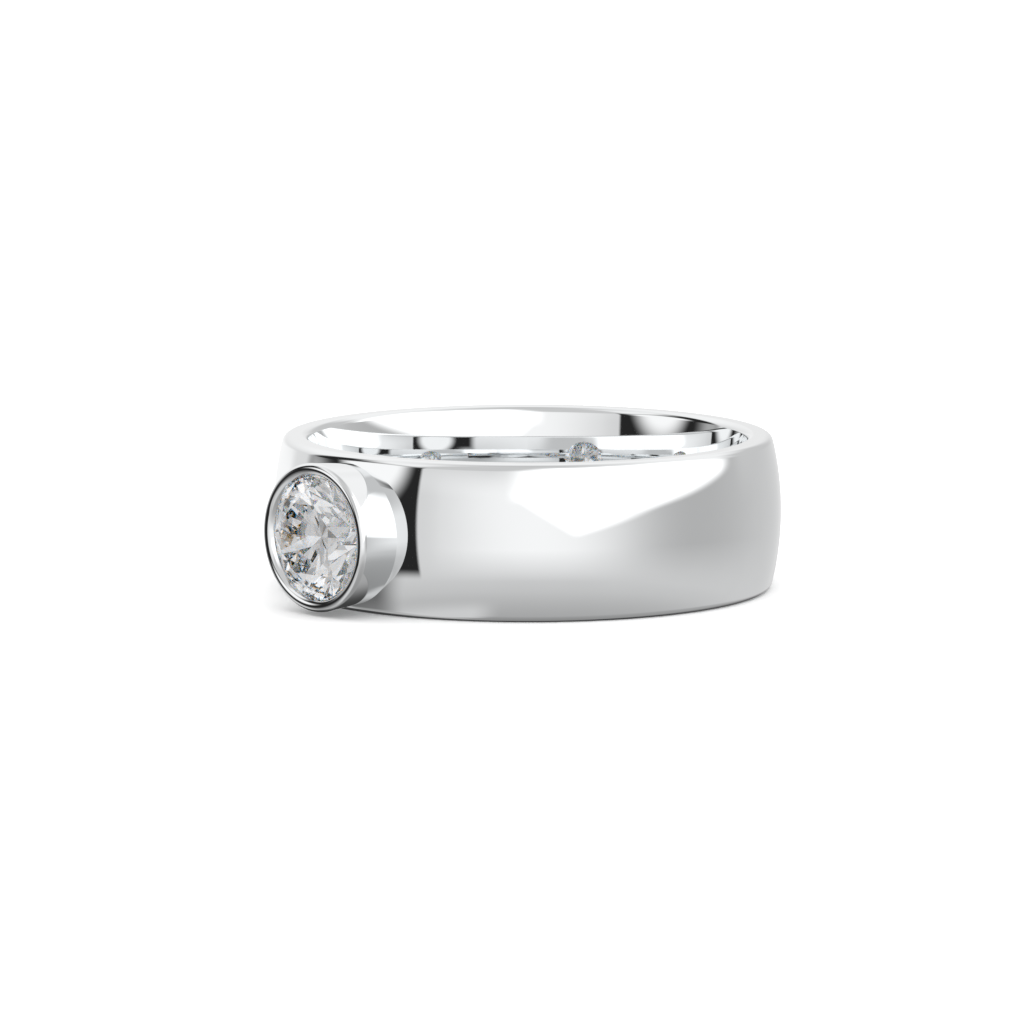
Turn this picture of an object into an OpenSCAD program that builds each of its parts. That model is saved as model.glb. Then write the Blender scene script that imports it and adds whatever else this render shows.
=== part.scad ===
// Wide domed ring with one round brilliant in a tall bezel.
// The finger hole runs along Z, the bezel points along -Y, and the origin is
// the middle of the finger hole. The ring lies on its side, on the flat edge
// at the bottom of the band.

/* [Band] */
// Diameter of the finger hole at its narrowest
finger_d = 16.7; // [15:0.1:22]
// Width of the band along the finger
band_w = 6; // [5.9:0.1:8]
// Thickness of the band at the middle of its width
band_t = 1.53; // [1.5:0.01:1.8]
// How far the domed outside falls from the middle to the edges
dome_drop = 0.39; // [0.3:0.01:0.5]
// How far the inside opens from the middle to the edges, for comfort
comfort_drop = 0.235; // [0.15:0.005:0.3]
// Width of the straight middle of the inside
straight_w = 0.8; // [0.6:0.1:1.2]
// Rounding of the outer edges
outer_edge_r = 0.33; // [0.1:0.01:0.35]
// Rounding of the inner edges
inner_edge_r = 0.28; // [0.1:0.01:0.35]

/* [Bezel] */
// Outside diameter of the bezel at its widest, just under the rim
bezel_d = 5.67; // [5.66:0.01:5.74]
// How far the bezel's wall leans outwards, in degrees
bezel_lean = 4.6; // [3:0.2:6]
// Height of the rim over the middle of the band's outer face
bezel_h = 1.52; // [1.5:0.01:1.8]
// Rounding of the rim's outer side
rim_out_r = 0.22; // [0.18:0.01:0.22]
// Rounding of the rim's flatter inner side, above its slope to the stone
rim_in_r = 0.3; // [0.24:0.01:0.3]
// Depth from the top of the rim to where it meets the stone
rim_depth = 0.19; // [0.17:0.01:0.19]
// How far the rim is pushed over the edge of the stone
rim_hold = 0.18; // [0.18:0.01:0.2]
// Diameter of the hole that lets light in behind the stone
light_hole_d = 4.4; // [4:0.1:4.5]

/* [Stone] */
// Diameter of the stone at its girdle
stone_d = 5; // [4.95:0.01:5]
// Width of the table as a share of the diameter
table_share = 0.57; // [0.53:0.01:0.62]
// Slope of the crown's main facets in degrees
crown_angle = 34.5; // [32:0.5:36]
// Slope of the pavilion's main facets in degrees
pavilion_angle = 41.25; // [40:0.25:41.75]
// Thickness of the girdle where it is thickest
girdle_t = 0.13; // [0.1:0.01:0.16]
// Length of the star facets as a share of their way to the girdle
star_share = 0.5; // [0.4:0.05:0.6]
// Length of the lower girdle facets as a share of their way to the tip
lower_share = 0.77; // [0.7:0.01:0.85]
// Turn of the stone in its bezel in degrees
stone_turn = 22.5; // [0:0.5:45]
// Gap between the stone and the metal that holds it
seat_gap = 0.02; // [0.01:0.005:0.03]

/* [Hidden] */

$fn = 180;

// The band's outer face is one arc, through the middle and both edges
finger_r = finger_d / 2;
half_w = band_w / 2;
crest_r = finger_r + band_t;
dome_r = (half_w * half_w + dome_drop * dome_drop) / (2 * dome_drop);
dome_x = crest_r - dome_r;

// The outer edge's rounding touches that arc at the angle edge_angle
edge_y = half_w - outer_edge_r;
edge_angle = asin(edge_y / (dome_r - outer_edge_r));
edge_x = dome_x + (dome_r - outer_edge_r) * cos(edge_angle);

// The inside is straight in the middle and one arc on either side of it, and
// the inner edge's rounding touches that arc at the angle inner_angle
half_straight = straight_w / 2;
arc_w = half_w - half_straight;
comfort_r = (arc_w * arc_w + comfort_drop * comfort_drop) / (2 * comfort_drop);
comfort_x = finger_r + comfort_r;
inner_y = half_w - inner_edge_r;
inner_angle = asin((inner_y - half_straight) / (comfort_r - inner_edge_r));
inner_x = comfort_x - (comfort_r - inner_edge_r) * cos(inner_angle);

// Facet corners: the star corners lie on the crown between the mains, and
// the lower corners on the pavilion between the mains. Heights are over the
// girdle's upper edge.
mains = 8;
half_step = 180 / mains;
arc_steps = 4;
stone_r = stone_d / 2;
table_r = table_share * stone_r;
table_z = (stone_r - table_r) * tan(crown_angle);
star_r = table_r * cos(half_step) * (1 - star_share) + stone_r * star_share;
star_z = (stone_r - star_r * cos(half_step)) * tan(crown_angle);
tip_z = -girdle_t - stone_r * tan(pavilion_angle);
lower_r = (1 - lower_share) * stone_r;
lower_z = tip_z + lower_r * cos(half_step) * tan(pavilion_angle);
crown_edge_slope = star_z / ((stone_r - star_r) * cos(half_step / 2));

// Heights along the bezel's axis are measured from the middle of the ring.
// The bezel's foot ends inside the band, foot_cover above the finger hole.
// The rim's two roundings meet at its top, at the radius rim_x. The outer one
// touches the leaning wall at the wall's end. The inner one touches the
// straight slope to the stone, which slopes by rim_slope degrees.
foot_cover = 0.45;
rim_z = crest_r + bezel_h;
rim_x = bezel_d / 2 - rim_out_r;
mouth_z = rim_z - rim_depth;
mouth_r = stone_r - rim_hold;
mouth_away = norm([rim_x - mouth_r, rim_in_r - rim_depth]);
mouth_angle = atan((rim_in_r - rim_depth) / (rim_x - mouth_r));
rim_slope = 90 - mouth_angle - acos(rim_in_r / mouth_away);
slope_top_r = rim_x - rim_in_r * sin(rim_slope);
slope_top_z = rim_z - rim_in_r + rim_in_r * cos(rim_slope);
wall_end_r = rim_x + rim_out_r * cos(bezel_lean);
wall_end_z = rim_z - rim_out_r - rim_out_r * sin(bezel_lean);
bezel_foot_z = finger_r + foot_cover;
bezel_foot_r = wall_end_r - (wall_end_z - bezel_foot_z) * tan(bezel_lean);
wall_at_rim_r = wall_end_r + (rim_z - wall_end_z) * tan(bezel_lean);
girdle_top_z = mouth_z - rim_hold * crown_edge_slope - seat_gap;
girdle_low_z = girdle_top_z - girdle_t;
socket_r = stone_r + seat_gap;
socket_top_z = girdle_top_z + seat_gap;

// Under the girdle the metal is a narrow ledge, then an open cup that goes
// just under the band's face, a short cone, and a hole through the band
ledge_w = 0.22;
cup_depth = 0.1;
cone_h = 0.2;
cup_r = socket_r - ledge_w;
ledge_drop = ledge_w * tan(pavilion_angle);
ledge_z = girdle_low_z - seat_gap / cos(pavilion_angle);
cup_floor_z = crest_r - cup_depth;
cup_neck_z = cup_floor_z - cone_h;
light_hole_r = light_hole_d / 2;

// How far a cutting shape goes past what it cuts
overrun = 1;

// Point at a radius, a turn and a height
function at(r, a, z) = [r * cos(a), r * sin(a), z];

// Height at the girdle of the half facet that goes through the girdle at
// turns 0 and half_step and through the corner at (corner_r, half_step)
function half_facet_z(a, corner_r, corner_z, girdle_z) =
    let (edge = stone_r * cos(half_step / 2))
    let (reach = edge - corner_r * cos(half_step / 2))
    let (slope = (corner_z - girdle_z) / reach)
    girdle_z - (stone_r * cos(a - half_step / 2) - edge) * slope;

// Turn within a half facet, folded so that it runs from a main to a corner
function folded(i) =
    let (k = i % (2 * arc_steps))
    (k <= arc_steps ? k : 2 * arc_steps - k) * half_step / arc_steps;

// What lies outside a rounding, between the angles where it touches
module edge_cut(x, y, r, from_angle, to_angle) {
    reach = 2 * r;
    middle = (from_angle + to_angle) / 2;
    corner_reach = reach / cos(to_angle - middle);
    translate([x, y])
        difference() {
            polygon([
                [0, 0],
                [reach * cos(from_angle), reach * sin(from_angle)],
                [corner_reach * cos(middle), corner_reach * sin(middle)],
                [reach * cos(to_angle), reach * sin(to_angle)]
            ]);
            circle(r = r);
        }
}

// All that lies on the band's side of the comfort-fit inside
module comfort_side() {
    for (side = [-1, 1])
        translate([comfort_x, side * half_straight])
            circle(r = comfort_r);
    translate([finger_r, -half_straight])
        square([comfort_r, straight_w]);
}

module band_section() {
    difference() {
        intersection() {
            translate([dome_x, 0])
                circle(r = dome_r);
            comfort_side();
            translate([finger_r, -half_w])
                square([2 * band_t, band_w]);
        }
        for (side = [0, 1])
            mirror([0, side]) {
                edge_cut(edge_x, edge_y, outer_edge_r, edge_angle, 90);
                edge_cut(inner_x, inner_y, inner_edge_r, 90, 180 - inner_angle);
            }
    }
}

module bezel_body_section() {
    difference() {
        polygon([
            [0, bezel_foot_z],
            [bezel_foot_r, bezel_foot_z],
            [wall_at_rim_r, rim_z],
            [0, rim_z]
        ]);
        edge_cut(rim_x, rim_z - rim_out_r, rim_out_r, -bezel_lean, 90);
        edge_cut(rim_x, rim_z - rim_in_r, rim_in_r, 90, 90 + rim_slope);
    }
}

module bezel_hollow_section() {
    polygon([
        [0, 0],
        [light_hole_r, 0],
        [light_hole_r, cup_neck_z],
        [cup_r, cup_floor_z],
        [cup_r, ledge_z - ledge_drop],
        [socket_r, ledge_z],
        [socket_r, socket_top_z],
        [mouth_r, mouth_z],
        [slope_top_r, slope_top_z],
        [slope_top_r, rim_z + overrun],
        [0, rim_z + overrun]
    ]);
}

// Turns a shape that stands on the ring's axis towards -Y
module along_bezel() {
    rotate([90, 0, 0])
        children();
}

module band_with_bezel() {
    color("gainsboro")
        difference() {
            union() {
                rotate_extrude()
                    band_section();
                along_bezel()
                    rotate_extrude()
                        bezel_body_section();
            }
            along_bezel()
                rotate_extrude()
                    bezel_hollow_section();
        }
}

// Round brilliant: its corners ring by ring, from the table to the tip
module stone() {
    rounds = 2 * mains * arc_steps;
    table_pts = [for (i = [0 : mains - 1]) at(table_r, 2 * i * half_step, table_z)];
    star_pts = [for (i = [0 : mains - 1]) at(star_r, (2 * i + 1) * half_step, star_z)];
    top_pts = [
        for (i = [0 : rounds - 1])
            at(stone_r, i * half_step / arc_steps, half_facet_z(folded(i), star_r, star_z, 0))
    ];
    low_pts = [
        for (i = [0 : rounds - 1])
            at(stone_r, i * half_step / arc_steps, half_facet_z(folded(i), lower_r, lower_z, -girdle_t))
    ];
    lower_pts = [for (i = [0 : mains - 1]) at(lower_r, (2 * i + 1) * half_step, lower_z)];
    tip_pt = [at(0, 0, tip_z)];
    points = concat(table_pts, star_pts, top_pts, low_pts, lower_pts, tip_pt);
    star0 = mains;
    top0 = 2 * mains;
    low0 = top0 + rounds;
    lower0 = low0 + rounds;
    tip = lower0 + mains;
    main_steps = 2 * arc_steps;
    faces = concat(
        [[for (i = [mains - 1 : -1 : 0]) i]],
        [for (i = [0 : mains - 1]) [i, (i + 1) % mains, star0 + i]],
        [
            for (i = [0 : mains - 1])
                [i, star0 + i, top0 + i * main_steps, star0 + (i + mains - 1) % mains]
        ],
        [
            for (i = [0 : mains - 1])
                concat([star0 + i], [for (k = [arc_steps : -1 : 0]) top0 + i * main_steps + k])
        ],
        [
            for (i = [0 : mains - 1])
                concat(
                    [star0 + i],
                    [for (k = [main_steps : -1 : arc_steps]) top0 + (i * main_steps + k) % rounds]
                )
        ],
        [
            for (i = [0 : rounds - 1])
                [top0 + i, top0 + (i + 1) % rounds, low0 + (i + 1) % rounds, low0 + i]
        ],
        [
            for (i = [0 : mains - 1])
                concat([lower0 + i], [for (k = [0 : arc_steps]) low0 + i * main_steps + k])
        ],
        [
            for (i = [0 : mains - 1])
                concat(
                    [lower0 + i],
                    [for (k = [arc_steps : main_steps]) low0 + (i * main_steps + k) % rounds]
                )
        ],
        [
            for (i = [0 : mains - 1])
                [tip, lower0 + (i + mains - 1) % mains, low0 + i * main_steps, lower0 + i]
        ]
    );
    color("aliceblue")
        along_bezel()
            translate([0, 0, girdle_top_z])
                rotate([0, 0, stone_turn])
                    polyhedron(points = points, faces = faces);
}

band_with_bezel();
stone();
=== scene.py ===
import bpy
import numpy as np
from mathutils import Matrix


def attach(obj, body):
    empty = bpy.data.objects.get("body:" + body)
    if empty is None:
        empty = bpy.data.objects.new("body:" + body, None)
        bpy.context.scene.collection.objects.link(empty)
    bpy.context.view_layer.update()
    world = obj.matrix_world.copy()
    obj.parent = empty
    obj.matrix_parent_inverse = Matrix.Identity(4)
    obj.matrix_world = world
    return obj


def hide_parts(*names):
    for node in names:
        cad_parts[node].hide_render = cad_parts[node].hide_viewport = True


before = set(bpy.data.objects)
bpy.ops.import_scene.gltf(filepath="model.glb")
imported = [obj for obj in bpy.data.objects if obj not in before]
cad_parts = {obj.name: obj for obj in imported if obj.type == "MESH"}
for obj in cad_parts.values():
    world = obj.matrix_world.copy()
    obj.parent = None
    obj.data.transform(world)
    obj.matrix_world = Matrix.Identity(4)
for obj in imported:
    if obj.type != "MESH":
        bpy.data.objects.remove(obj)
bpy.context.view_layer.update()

# The camera, a long lens a little above the ring's side and well to the right of the
# bezel. Its turn round the ring is measured from the bezel's own side.
camera_turn = np.radians(45.88)
camera_rise = np.radians(7.914)
camera_away = 0.2466
camera_aside = 0.000609
camera_below = 0.000103
film_w_mm = 36
frame_px = 1024
focal_px = 6321.6

turned = np.array([
    [np.cos(camera_turn), -np.sin(camera_turn), 0],
    [np.sin(camera_turn), np.cos(camera_turn), 0],
    [0, 0, 1],
])
camera_right = turned @ [1, 0, 0]
camera_up = turned @ [0, np.sin(camera_rise), np.cos(camera_rise)]
camera_back = turned @ [0, -np.cos(camera_rise), np.sin(camera_rise)]
camera_place = camera_away * camera_back - camera_aside * camera_right - camera_below * camera_up

camera_data = bpy.data.cameras.new("long_lens")
camera_data.sensor_width = film_w_mm
camera_data.lens = film_w_mm * focal_px / frame_px
camera_data.clip_start = 0.01
camera_data.clip_end = 10
camera = bpy.data.objects.new("camera", camera_data)
bpy.context.collection.objects.link(camera)
stand = np.eye(4)
stand[:3, :3] = np.stack([camera_right, camera_up, camera_back], 1)
stand[:3, 3] = camera_place
camera.matrix_world = Matrix(stand.tolist())
bpy.context.scene.camera = camera

# The ring's metal, one piece of soldered white gold: a wide band, domed outside and eased
# inside for comfort, and a tall cup on it that widens towards its rounded rim. They are
# turned, filed, soldered and then polished to a mirror.
finger_r = 0.00835
half_band_w = 0.003
crest_r = 0.00988
dome_drop = 0.00039
comfort_drop = 0.000235
half_straight = 0.0004
outer_edge_r = 0.00033
inner_edge_r = 0.00028

dome_r = (half_band_w**2 + dome_drop**2) / (2 * dome_drop)
comfort_w = half_band_w - half_straight
comfort_r = (comfort_w**2 + comfort_drop**2) / (2 * comfort_drop)

# Points of the mesh along each stretch of the section
straight_points = 3
arc_points = 24
rounding_points = 15
side_points = 5


def cross_section(face_r, facing, straight, arc_r, edge_r):
    """One face of the band's section, as a function of the way along it from the middle.

    A straight stretch, then an arc of radius arc_r that touches it, then the edge's
    rounding of radius edge_r that touches both the arc and the band's side. On an arc the
    angle grows by the way over the radius, the radius from the ring's axis is the arc
    centre's plus facing * radius * cos(angle), and the height is the centre's plus
    radius * sin(angle). The slope is (facing * cos(angle), sin(angle)). Also gives the
    way to a height, the ways that a mesh needs on the face, and those on the rounding.
    """
    edge_z = half_band_w - edge_r
    edge_angle = np.arcsin((edge_z - straight) / (arc_r - edge_r))
    arc_x = face_r - facing * arc_r
    edge_x = arc_x + facing * (arc_r - edge_r) * np.cos(edge_angle)
    to_edge = straight + arc_r * edge_angle
    to_side = to_edge + edge_r * (np.pi / 2 - edge_angle)

    def at(way):
        """Radius, height and both parts of the slope at a way along the section."""
        side, way = np.sign(way), np.abs(way)
        rounded = way > to_edge
        angle = np.maximum(way - straight, 0) / arc_r
        angle = np.where(rounded, edge_angle + (way - to_edge) / edge_r, angle)
        out, along = facing * np.cos(angle), np.sin(angle)
        r = np.where(rounded, edge_x + edge_r * out, arc_x + arc_r * out)
        z = np.where(rounded, edge_z + edge_r * along, straight + arc_r * along)
        z = np.where(way < straight, way, z)
        return r, side * z, out, side * along

    def way_to(z):
        """Way along the section to a height on its face."""
        side, z = np.sign(z), np.abs(z)
        on_arc = straight + arc_r * np.arcsin(np.maximum(z - straight, 0) / arc_r)
        return side * np.where(z < straight, z, on_arc)

    half = np.linspace(straight, to_edge, arc_points)
    if straight > 0:
        half = np.concatenate([np.linspace(0, straight, straight_points)[:-1], half])
    both_halves = np.concatenate([-half[:0:-1], half])
    return at, way_to, both_halves, np.linspace(to_edge, to_side, rounding_points)


outside, outside_way, outside_ways, outer_edge_ways = cross_section(
    crest_r, 1, 0, dome_r, outer_edge_r)
inside, inside_way, inside_ways, inner_edge_ways = cross_section(
    finger_r, -1, half_straight, comfort_r, inner_edge_r)


def round_the_finger(turn, r, z, slope_r, slope_z):
    """Points and normals of a section turned about the ring's axis, from the bezel's side.

    Each point is (r * sin(turn), -r * cos(turn), z).
    """
    s, c = np.sin(turn), np.cos(turn)
    points = np.stack(np.broadcast_arrays(r * s, -r * c, z), -1)
    return points, np.stack(np.broadcast_arrays(slope_r * s, -slope_r * c, slope_z), -1)


def round_the_bezel(phi, r, h, slope_r, slope_h):
    """Points and normals of a section turned about the bezel's axis.

    Each point is (r * cos(phi), -h, r * sin(phi)).
    """
    s, c = np.sin(phi), np.cos(phi)
    points = np.stack(np.broadcast_arrays(r * c, -h, r * s), -1)
    return points, np.stack(np.broadcast_arrays(slope_r * c, -slope_h, slope_r * s), -1)


# The bezel's section, in radius and height over the middle of the ring. The rim is one
# rounding from the leaning wall to the top, a flatter one inwards, and a bright-cut slope
# that touches it and goes down to the stone.
rim_h = 0.0114
rim_r = 0.00022
rim_in_r = 0.0003
rim_top_r = 0.002615
bezel_lean = np.radians(4.6)
mouth = (0.00232, 0.01121)
socket_top = (0.00252, 0.011053)
ledge_out = (0.00252, 0.010876)
ledge_in = (0.0023, 0.010683)
cup_floor = (0.0023, 0.00978)
light_hole_r = 0.0022
cup_neck = (light_hole_r, 0.00958)

wall_points = 15
rim_points = 20
neck_points = 7

wall_end_r = rim_top_r + rim_r * np.cos(bezel_lean)
wall_end_h = rim_h - rim_r - rim_r * np.sin(bezel_lean)
mouth_in = rim_top_r - mouth[0]
mouth_up = mouth[1] - rim_h + rim_in_r
mouth_angle = np.arctan2(mouth_up, mouth_in)
rim_slope = np.pi / 2 - mouth_angle - np.arccos(rim_in_r / np.hypot(mouth_in, mouth_up))

# The band's grid has a line at every degree, and where the bezel stands a window that
# reaches this many degrees to each side
window = 24
turns = np.radians(np.arange(361))
window_turns = np.concatenate([-turns[window:0:-1], turns[:window + 1]])
far_turns = turns[window:len(turns) - window]
window_points = 13
edge_rounds = 8
patches = []


def pierced(section, way_of, ways, hole_r, lean):
    """A face of the band with a round hole about the bezel's axis.

    The hole's radius is hole_r at the end of the bezel's wall, and grows upwards by lean.
    Outside a window round the hole, the face is the plain turned section. Inside it, lines
    run from the hole's edge to the window's own grid points, at even steps in turn and
    way. The hole's edge is found in a few rounds: its radius gives the height of the face
    there, and that height gives the radius again.
    """
    patches.append((*round_the_finger(far_turns[:, None], *section(ways)), ways, 0))
    last = len(window_turns) - 1
    frame_turns = np.concatenate([
        np.full(len(ways) - 1, window_turns[-1]),
        window_turns[:0:-1],
        np.full(len(ways) - 1, window_turns[0]),
        window_turns[:last],
    ])
    frame_ways = np.concatenate([
        ways[:-1],
        np.full(last, ways[-1]),
        ways[:0:-1],
        np.full(last, ways[0]),
    ])
    r, z, _, _ = section(frame_ways)
    phi = np.arctan2(z, r * np.sin(frame_turns))
    edge_r = hole_r
    for _ in range(edge_rounds):
        hole_way = way_of(edge_r * np.sin(phi))
        face_r = section(hole_way)[0]
        hole_h = np.sqrt(face_r**2 - (edge_r * np.cos(phi))**2)
        edge_r = hole_r + np.tan(lean) * (hole_h - wall_end_h)
    hole_turn = np.arcsin(edge_r * np.cos(phi) / face_r)
    share = np.linspace(0, 1, window_points)[:, None]
    way = (1 - share) * hole_way + share * frame_ways
    turn = (1 - share) * hole_turn + share * frame_turns
    way, turn, phi, hole_h = (np.concatenate([a, a[..., :1]], -1) for a in (way, turn, phi, hole_h))
    patches.append((*round_the_finger(turn, *section(way)), way, 0))
    return phi, hole_h


phi, foot_h = pierced(outside, outside_way, outside_ways, wall_end_r, bezel_lean)
hole_phi, hole_h = pierced(inside, inside_way, inside_ways, light_hole_r, 0)

for side in (-1, 1):
    for section, ways in ((outside, outer_edge_ways), (inside, inner_edge_ways)):
        rounding = round_the_finger(turns[:, None], *section(side * ways))
        patches.append((*rounding, ways, 1))
    flat_r = np.linspace(outside(outer_edge_ways[-1])[0], inside(inner_edge_ways[-1])[0], side_points)
    flat = round_the_finger(turns[:, None], flat_r, side * half_band_w, 0, side)
    patches.append((*flat, flat_r, 0))


def bezel_wall(start, end, steps):
    """Straight wall of the bezel from one point of its section to another, the metal on its left.

    The slope is the wall's own direction, (run, rise) over its length, turned to the right.
    """
    along = np.linspace(0, 1, steps + 1)
    run, rise = end[0] - start[0], end[1] - start[1]
    length = np.hypot(run, rise)
    r = start[0] + along * run
    h = start[1] + along * rise
    wall = round_the_bezel(phi[:, None], r, h, rise / length, -run / length)
    patches.append((*wall, along * length, 0))


def rim_rounding(r, from_angle, to_angle):
    """One side of the rim: an arc whose centre is r under the rim's top. Gives its end.

    A point is (rim_top_r + r * cos(bend), rim_h - r + r * sin(bend)), where bend goes from
    the one angle to the other.
    """
    bend = np.linspace(from_angle, to_angle, rim_points)
    arc_r = rim_top_r + r * np.cos(bend)
    arc_h = rim_h - r + r * np.sin(bend)
    rounding = round_the_bezel(phi[:, None], arc_r, arc_h, np.cos(bend), np.sin(bend))
    patches.append((*rounding, r * bend, 1))
    return arc_r[-1], arc_h[-1]


up = np.linspace(0, 1, wall_points)
wall_h = (1 - up) * foot_h[:, None] + up * wall_end_h
wall_r = wall_end_r + np.tan(bezel_lean) * (wall_h - wall_end_h)
leaning_wall = round_the_bezel(phi[:, None], wall_r, wall_h, np.cos(bezel_lean), -np.sin(bezel_lean))
patches.append((*leaning_wall, wall_h, 0))
rim_rounding(rim_r, -bezel_lean, np.pi / 2)
slope_top = rim_rounding(rim_in_r, np.pi / 2, np.pi / 2 + rim_slope)
bezel_wall(slope_top, mouth, 2)
bezel_wall(mouth, socket_top, 2)
bezel_wall(socket_top, ledge_out, 2)
bezel_wall(ledge_out, ledge_in, 3)
bezel_wall(ledge_in, cup_floor, 6)
bezel_wall(cup_floor, cup_neck, 2)
full_turn = 2 * np.pi
hole_edge = sorted(zip(hole_phi % full_turn, hole_h))
hole_h = np.interp(phi % full_turn, *zip(*hole_edge), period=full_turn)
down = np.linspace(0, 1, neck_points)
neck_h = (1 - down) * cup_neck[1] + down * hole_h[:, None]
patches.append((*round_the_bezel(phi[:, None], light_hole_r, neck_h, -1, 0), neck_h, 0))

mm_per_m = 1000
merge_steps_per_m = 1e7


def joined(name, patches):
    """One closed mesh from patches of points and normals on grids.

    Doubles are merged, faces turned to their normals, and the normals kept. Each patch
    also brings its way across the section, kept in millimetres, and whether it is an edge
    that wears.
    """
    points, normals, across, worn, quads = [], [], [], [], []
    count = 0
    for p, n, way, wear in patches:
        rows, columns = p.shape[:2]
        grid = count + np.arange(rows * columns).reshape(rows, columns)
        quad = np.stack([grid[:-1, :-1], grid[1:, :-1], grid[1:, 1:], grid[:-1, 1:]], -1).reshape(-1, 4)
        flat, flat_n = p.reshape(-1, 3), np.broadcast_to(n, p.shape).reshape(-1, 3)
        a, b, c, d = (flat[quad[:, i] - count] for i in range(4))
        facing = np.einsum("ij,ij->i", np.cross(c - a, d - b), flat_n[quad[:, 0] - count])
        quads.append(quad if facing.sum() > 0 else quad[:, ::-1])
        points.append(flat)
        normals.append(flat_n)
        across.append(mm_per_m * np.broadcast_to(way, (rows, columns)).reshape(-1))
        worn.append(np.full(rows * columns, float(wear)))
        count += rows * columns
    points, normals, across, worn, quads = map(np.concatenate, (points, normals, across, worn, quads))
    steps = np.round(points * merge_steps_per_m)
    _, first, merged = np.unique(steps, axis=0, return_index=True, return_inverse=True)
    mesh = bpy.data.meshes.new(name)
    mesh.from_pydata(points[first].tolist(), [], merged.reshape(-1)[quads].tolist())
    mesh.polygons.foreach_set("use_smooth", np.ones(len(quads), bool))
    mesh.normals_split_custom_set(normals[quads.reshape(-1)].tolist())
    for label, values in (("across", across), ("worn", worn)):
        per_corner = mesh.attributes.new(label, "FLOAT", "CORNER")
        per_corner.data.foreach_set("value", values[quads.reshape(-1)])
    return mesh


ring_mesh = joined("polished_ring", patches)
ring = bpy.data.objects.new("polished_ring", ring_mesh)
bpy.context.collection.objects.link(ring)

gold = bpy.data.materials.new("polished_white_gold")
gold.use_nodes = True
ring_mesh.materials.append(gold)


def wired(tree, kind, *wires, gives=None, **settings):
    """A node with its settings, and the inputs that it shows wired or set in order.

    Gives the named output, or else the first one that the node shows.
    """
    node = tree.nodes.new(kind)
    for key, value in settings.items():
        setattr(node, key, value)
    shown = [socket for socket in node.inputs if socket.enabled]
    for socket, value in zip(shown, wires):
        if isinstance(value, bpy.types.NodeSocket):
            tree.links.new(value, socket)
        elif value is not None:
            socket.default_value = value
    if gives is not None:
        return node.outputs[gives]
    return next(socket for socket in node.outputs if socket.enabled)


def gold_node(kind, *wires, **settings):
    """A node of the gold's material."""
    return wired(gold.node_tree, kind, *wires, **settings)


# Polishing leaves hair-fine lines that run round the band and round the bezel. They come
# from noise that changes slowly with place and fast with the way across the section. The
# cloth leaves a faint smear, and the edges are knocked a little duller. Scales are in
# waves per metre, and lines_per_mm in waves per millimetre. A span is the stretch of the
# noise's values in which an effect begins and grows whole.
lines_per_mm = 26.0
lines_scale = 260
lines_span = (0.58, 0.74)
lines_roughness = 0.035
cloth_scale = 700
cloth_span = (0.35, 0.7)
cloth_roughness = (0.012, 0.03)
knocks_scale = 9000
knocks_span = (0.5, 0.75)
knocks_roughness = (0.0, 0.05)
dull_span = (0.3, 0.75)
pale_gold = (0.938, 0.949, 0.956, 1)
dull_gold = (0.926, 0.937, 0.943, 1)
relief_strength = 0.35
relief_depth = 2e-8

place = gold_node("ShaderNodeTexCoord", gives="Object")
across = gold_node("ShaderNodeAttribute", gives="Fac", attribute_name="across")
worn = gold_node("ShaderNodeAttribute", gives="Fac", attribute_name="worn")
lines_at = gold_node("ShaderNodeMath", across, lines_per_mm, operation="MULTIPLY")
lines = gold_node("ShaderNodeTexNoise", place, lines_at, lines_scale, 3, noise_dimensions="4D")
hair = gold_node("ShaderNodeMapRange", lines, *lines_span)
cloth = gold_node("ShaderNodeTexNoise", place, cloth_scale, 4)
smear = gold_node("ShaderNodeMapRange", cloth, *cloth_span, *cloth_roughness)
lined = gold_node("ShaderNodeMath", hair, lines_roughness, smear, operation="MULTIPLY_ADD")
knocks = gold_node("ShaderNodeTexNoise", place, knocks_scale, 3)
knocked = gold_node("ShaderNodeMapRange", knocks, *knocks_span, *knocks_roughness)
roughness = gold_node("ShaderNodeMath", worn, knocked, lined, operation="MULTIPLY_ADD")
dulled = gold_node("ShaderNodeMapRange", cloth, *dull_span)
tone = gold_node("ShaderNodeMix", dulled, pale_gold, dull_gold, data_type="RGBA")
relief = gold.node_tree.nodes.new("ShaderNodeBump")
relief.inputs["Strength"].default_value = relief_strength
relief.inputs["Distance"].default_value = relief_depth
gold.node_tree.links.new(lines, relief.inputs["Height"])

shader = gold.node_tree.nodes["Principled BSDF"]
shader.inputs["Metallic"].default_value = 1
gold.node_tree.links.new(roughness, shader.inputs["Roughness"])
gold.node_tree.links.new(tone, shader.inputs["Base Color"])
gold.node_tree.links.new(relief.outputs["Normal"], shader.inputs["Normal"])

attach(ring, "root")
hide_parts("band_with_bezel")

# The stone, a round brilliant of colourless diamond. Its facets are cut and polished, its
# girdle is left finely ground, and the bezel's rim holds it by the edge of its crown.
girdle_from = 0.002494
girdle_fade = 2e-6
grain_scale = 60000
grain_span = (0.3, 0.7)
ground_roughness = (0.2, 0.4)
diamond_colour = (0.87, 0.875, 0.89, 1)
diamond_ior = 2.417
warm_colour = (1, 0.5, 0, 1)
warm_ior = 2.403
cool_colour = (0, 0.5, 1, 1)
cool_ior = 2.436
fringe_share = 0.5

diamond = bpy.data.materials.new("diamond")
diamond.use_nodes = True


def stone_node(kind, *wires, **settings):
    """A node of the stone's material."""
    return wired(diamond.node_tree, kind, *wires, **settings)


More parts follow.
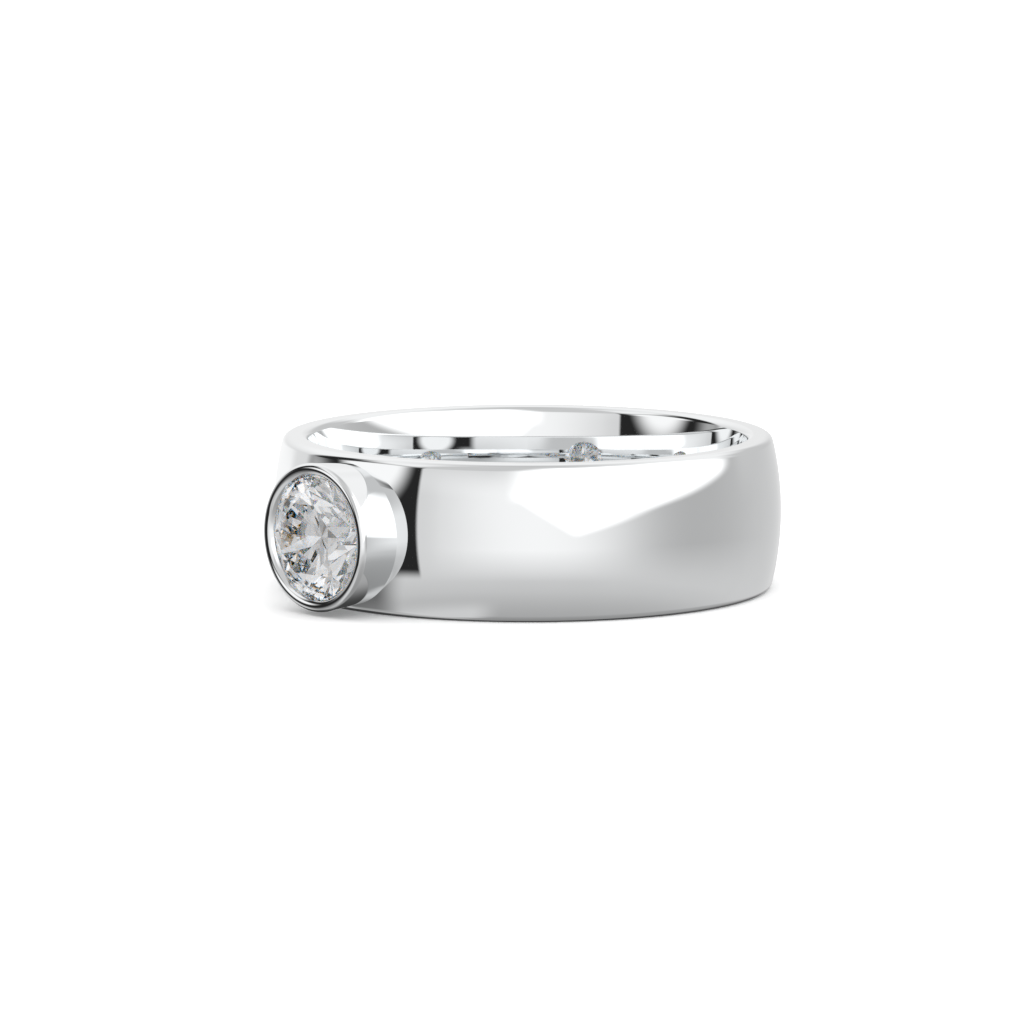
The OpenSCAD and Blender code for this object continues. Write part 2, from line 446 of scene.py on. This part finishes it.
# Ground where the way from the bezel's axis, which runs along Y, reaches the girdle
place = stone_node("ShaderNodeTexCoord", gives="Object")
off_axis = stone_node("ShaderNodeVectorMath", place, (1, 0, 1), operation="MULTIPLY")
way_out = stone_node("ShaderNodeVectorMath", off_axis, operation="LENGTH")
ground = stone_node("ShaderNodeMapRange", way_out, girdle_from, girdle_from + girdle_fade)
grain = stone_node("ShaderNodeTexNoise", place, grain_scale, 2)
grit = stone_node("ShaderNodeMapRange", grain, *grain_span, *ground_roughness)
rough = stone_node("ShaderNodeMath", ground, grit, operation="MULTIPLY")

shader = diamond.node_tree.nodes["Principled BSDF"]
shader.inputs["Base Color"].default_value = diamond_colour
shader.inputs["IOR"].default_value = diamond_ior
shader.inputs["Transmission Weight"].default_value = 1
diamond.node_tree.links.new(rough, shader.inputs["Roughness"])

# Light bends by its colour where it goes in, which gives the facets their coloured fringes
warm = stone_node("ShaderNodeBsdfGlass", warm_colour, rough, warm_ior)
cool = stone_node("ShaderNodeBsdfGlass", cool_colour, rough, cool_ior)
fringes = stone_node("ShaderNodeAddShader", warm, cool)
fringed = stone_node("ShaderNodeMixShader", fringe_share, shader.outputs[0], fringes)
going_out = stone_node("ShaderNodeNewGeometry", gives="Backfacing")
surface = stone_node("ShaderNodeMixShader", going_out, fringed, shader.outputs[0])
diamond.node_tree.links.new(surface, diamond.node_tree.nodes["Material Output"].inputs["Surface"])

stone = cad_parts["stone"]
stone.data.materials.clear()
stone.data.materials.append(diamond)

# The floor, a wide round sheet of pale paper that the ring lies on. It takes the soft
# shadows, and neither the metal nor the stone mirrors it. Its grid is a middle point and
# circles about it, closer together towards the middle.
floor_r = 1.5
floor_turns = np.radians(np.arange(0, 360, 5))
circle_r = floor_r * np.linspace(0, 1, 12)[1:] ** 2
circles = circle_r[:, None, None] * np.stack([np.cos(floor_turns), np.sin(floor_turns)], -1)
floor_points = np.concatenate([[[0, 0]], circles.reshape(-1, 2)])
floor_points = np.column_stack([floor_points, np.full(len(floor_points), -half_band_w)])
on_circle = len(floor_turns)
spoke = np.arange(on_circle)
next_spoke = (spoke + 1) % on_circle
fan = np.column_stack([np.zeros(on_circle, int), 1 + spoke, 1 + next_spoke])
inner = 1 + (np.arange(len(circle_r) - 1) * on_circle)[:, None]
outer = inner + on_circle
strips = np.stack([inner + spoke, outer + spoke, outer + next_spoke, inner + next_spoke], -1)
floor_mesh = bpy.data.meshes.new("floor")
floor_mesh.from_pydata(floor_points.tolist(), [], fan.tolist() + strips.reshape(-1, 4).tolist())
floor = bpy.data.objects.new("floor", floor_mesh)
bpy.context.collection.objects.link(floor)
floor.visible_glossy = False
floor.visible_transmission = False
paper = bpy.data.materials.new("pale_paper")
paper.use_nodes = True
shader = paper.node_tree.nodes["Principled BSDF"]
shader.inputs["Base Color"].default_value = (0.9, 0.9, 0.9, 1)
shader.inputs["Roughness"].default_value = 1
shader.inputs["Specular IOR Level"].default_value = 0
floor_mesh.materials.append(paper)

# The studio: soft light from all round. A pale backdrop, a large white softbox at the
# right, a black card with a round lamp before it at the left, and greys below and behind.
# It is what the metal and the stone mirror.
world = bpy.data.worlds.new("studio")
bpy.context.scene.world = world
world.use_nodes = True
world.cycles.sampling_method = "NONE"
world.node_tree.nodes.clear()


def studio_node(kind, *wires, **settings):
    """A node of the studio."""
    return wired(world.node_tree, kind, *wires, **settings)


# Direction as degrees right of the camera's side and degrees above the horizon
way = studio_node("ShaderNodeTexCoord", gives="Generated")
way = studio_node("ShaderNodeVectorRotate", way, None, -camera_turn, rotation_type="Z_AXIS")
split_way = world.node_tree.nodes.new("ShaderNodeSeparateXYZ")
world.node_tree.links.new(way, split_way.inputs[0])
aside, ahead, upward = split_way.outputs
away = studio_node("ShaderNodeMath", ahead, -1.0, operation="MULTIPLY")
right = studio_node("ShaderNodeMath", aside, away, operation="ARCTAN2")
right = studio_node("ShaderNodeMath", right, operation="DEGREES")
above = studio_node("ShaderNodeMath", upward, operation="ARCSINE")
above = studio_node("ShaderNodeMath", above, operation="DEGREES")
place = studio_node("ShaderNodeCombineXYZ", right, above, 1)


def ramp(value, low, high, stops):
    """Grey that goes smoothly through the given tones, from the value low to the value high."""
    node = world.node_tree.nodes.new("ShaderNodeValToRGB")
    node.color_ramp.interpolation = "B_SPLINE"
    elements = node.color_ramp.elements
    while len(elements) < len(stops):
        elements.new(0.5)
    for element, (at, tone) in zip(elements, stops):
        element.position = (at - low) / (high - low)
        element.color = (tone, tone, tone, 1)
    share = studio_node("ShaderNodeMapRange", value, low, high)
    world.node_tree.links.new(share, node.inputs[0])
    return node.outputs[0]


def mixed(mask, below, over):
    """The colour over where the mask is 1, and below where it is 0."""
    return studio_node("ShaderNodeMix", mask, below, over, data_type="RGBA")


# The stops of each ramp are degrees and tone
belt = ramp(right, -180, 180, [
    (-180, 0.90), (-150, 0.78), (-125, 0.74), (-50, 0.66), (-40, 0.75), (-20, 0.93),
    (0, 0.99), (20, 0.97), (36, 0.82), (50, 0.64), (65, 0.49), (80, 0.45),
    (100, 0.47), (125, 0.57), (155, 0.62), (180, 0.9),
])
below = ramp(above, -90, 0, [
    (-90, 0.26), (-65, 0.31), (-48, 0.35), (-36, 0.40), (-31, 0.46), (-26, 0.56),
    (-18, 0.66), (0, 0.66),
])
overhead = ramp(above, 0, 90, [
    (0, 0.96), (50, 0.95), (62, 0.86), (70, 0.72), (80, 0.57), (90, 0.52),
])
belt_bottom = (-10.0, -22.0)
belt_top = (8.0, 30.0)
low_mask = studio_node("ShaderNodeMapRange", above, *belt_bottom)
high_mask = studio_node("ShaderNodeMapRange", above, *belt_top)
studio = mixed(low_mask, mixed(high_mask, belt, overhead), below)

card = bpy.data.node_groups.new("soft_edged_card", "ShaderNodeTree")
card.interface.new_socket("Place", in_out="INPUT", socket_type="NodeSocketVector")
card_sides = [f"Side {number}" for number in (1, 2, 3, 4)]
for side in card_sides:
    card.interface.new_socket(side, in_out="INPUT", socket_type="NodeSocketVector")
card.interface.new_socket("Mask", in_out="OUTPUT", socket_type="NodeSocketFloat")
card_in = card.nodes.new("NodeGroupInput")
card_mask = 1.0
for side in card_sides:
    over_side = wired(card, "ShaderNodeVectorMath", card_in.outputs["Place"], card_in.outputs[side],
                      operation="DOT_PRODUCT")
    inside_side = wired(card, "ShaderNodeMapRange", over_side, -1.0, interpolation_type="SMOOTHSTEP")
    card_mask = wired(card, "ShaderNodeMath", card_mask, inside_side, operation="MULTIPLY")
card.links.new(card_mask, card.nodes.new("NodeGroupOutput").inputs["Mask"])


def hang_card(under, tone, corners, softness):
    """Lays a card over the studio so far.

    Each side's vector gives a place's way inside that side, over its softness in degrees.
    """
    node = world.node_tree.nodes.new("ShaderNodeGroup")
    node.node_tree = card
    world.node_tree.links.new(place, node.inputs["Place"])
    corners = np.array(corners, float)
    next_corners = np.roll(corners, -1, 0)
    for side, start, end, soft in zip(card_sides, corners, next_corners, np.broadcast_to(softness, 4)):
        inward = np.array([start[1] - end[1], end[0] - start[0]]) / np.linalg.norm(end - start)
        node.inputs[side].default_value = np.array([*inward, -inward @ start]) / soft
    return mixed(node.outputs["Mask"], under, (tone, tone, tone, 1))


# The cards, each over the ones before it. Columns: tone, corners going round
# counter-clockwise as degrees right and up, softness of each side in degrees.
greys_below = [
    (0.48, [(-122, -76), (-70, -76), (-70, -47), (-112, -47)], 8),
    (0.63, [(-80, -70), (-32, -62), (-20, -31), (-72, -31)], (8, 8, 3, 10)),
]
behind = [
    (0.62, [(-168, -44), (-98, -44), (-98, -10), (-168, -10)], (10, 3, 8, 8)),
    (0.98, [(-176, -20), (-139, -20), (-139, 2), (-176, 2)], (6, 5, 6, 8)),
    (0.045, [(-181, -70), (-112, -58), (-117, -44), (-181, -11)], (12, 12, 6, 1)),
    (0.05, [(135, -64), (181, -70), (181, -8), (152, -22)], (12, 1, 6, 22)),
    (0.58, [(114, 2), (160, 2), (160, 32), (118, 32)], (6, 10, 8, 6)),
]
softbox = [
    (1.3, [(-5.5, 9), (21, -5), (58, 2.5), (58, 60)], (1.5, 1.5, 30, 6)),
    (1.3, [(-5.5, 8), (20, 8), (60, 60), (-5.5, 60)], (1.5, 1, 1, 6)),
    (1.3, [(50, 2.5), (105, 7), (105, 58), (50, 58)], (1.5, 6, 6, 1)),
]
greys_at_the_left = [
    (0.6, [(-56, 18), (-7, 18), (16, 74), (-62, 74)], (8, 12, 5, 8)),
    (0.32, [(-112, -46), (-84, -46), (-72, -28), (-106, -28)], (6, 8, 4, 6)),
    (0.13, [(-102, -31), (-74, -31), (-64, -15), (-102, -15)], (6, 8, 4, 5)),
]
black_card = [
    (0.02, [(-121, -18), (-51, -19.5), (-51, 27), (-120, 50)], (2, 1, 9, 5)),
    (0.4, [(-121, -18), (-103, -18), (-107, 8), (-121, 8)], (2, 7, 3, 5)),
]
for tone, corners, softness in greys_below + behind + softbox + greys_at_the_left + black_card:
    studio = hang_card(studio, tone, corners, softness)

# A round lamp before the black card: its middle and its reach in degrees right and up,
# and the share of its reach over which its edge fades
lamp_at = (-78.5, 17.5)
lamp_reach = (19.5, 15)
lamp_fade = 0.28
from_middle = studio_node("ShaderNodeVectorMath", place, (*lamp_at, 1), operation="SUBTRACT")
in_reaches = studio_node("ShaderNodeVectorMath", from_middle, (*lamp_reach, 1), operation="DIVIDE")
reach = studio_node("ShaderNodeVectorMath", in_reaches, operation="LENGTH")
lamp = studio_node("ShaderNodeMapRange", reach, 1 + lamp_fade, 1 - lamp_fade,
                   interpolation_type="SMOOTHSTEP")
studio = mixed(lamp, studio, (1, 1, 1, 1))

# The floor is lit from all round, and more from above, and the camera sees plain white
horizon_light = 0.4
zenith_light = 2.2
seen_white = 1.6
rays = world.node_tree.nodes.new("ShaderNodeLightPath")
to_camera, to_floor = rays.outputs["Is Camera Ray"], rays.outputs["Is Diffuse Ray"]
from_above = studio_node("ShaderNodeMapRange", upward, 0.0, 1.0, horizon_light, zenith_light)
seen = studio_node("ShaderNodeMath", to_camera, seen_white, operation="MULTIPLY")
strength = studio_node("ShaderNodeMath", from_above, seen, operation="MAXIMUM")
mirrored = studio_node("ShaderNodeBackground", studio)
plain = studio_node("ShaderNodeBackground", (1, 1, 1, 1), strength)
unmirrored = studio_node("ShaderNodeMath", to_camera, to_floor, operation="MAXIMUM")
light = studio_node("ShaderNodeMixShader", unmirrored, mirrored, plain)
output = world.node_tree.nodes.new("ShaderNodeOutputWorld")
world.node_tree.links.new(light, output.inputs["Surface"])

# Plain tones, and enough bounces for the light to find its way out of the stone
scene = bpy.context.scene
scene.view_settings.view_transform = "Standard"
scene.cycles.use_denoising = True
scene.cycles.max_bounces = 24
scene.cycles.glossy_bounces = 16
scene.cycles.transmission_bounces = 20
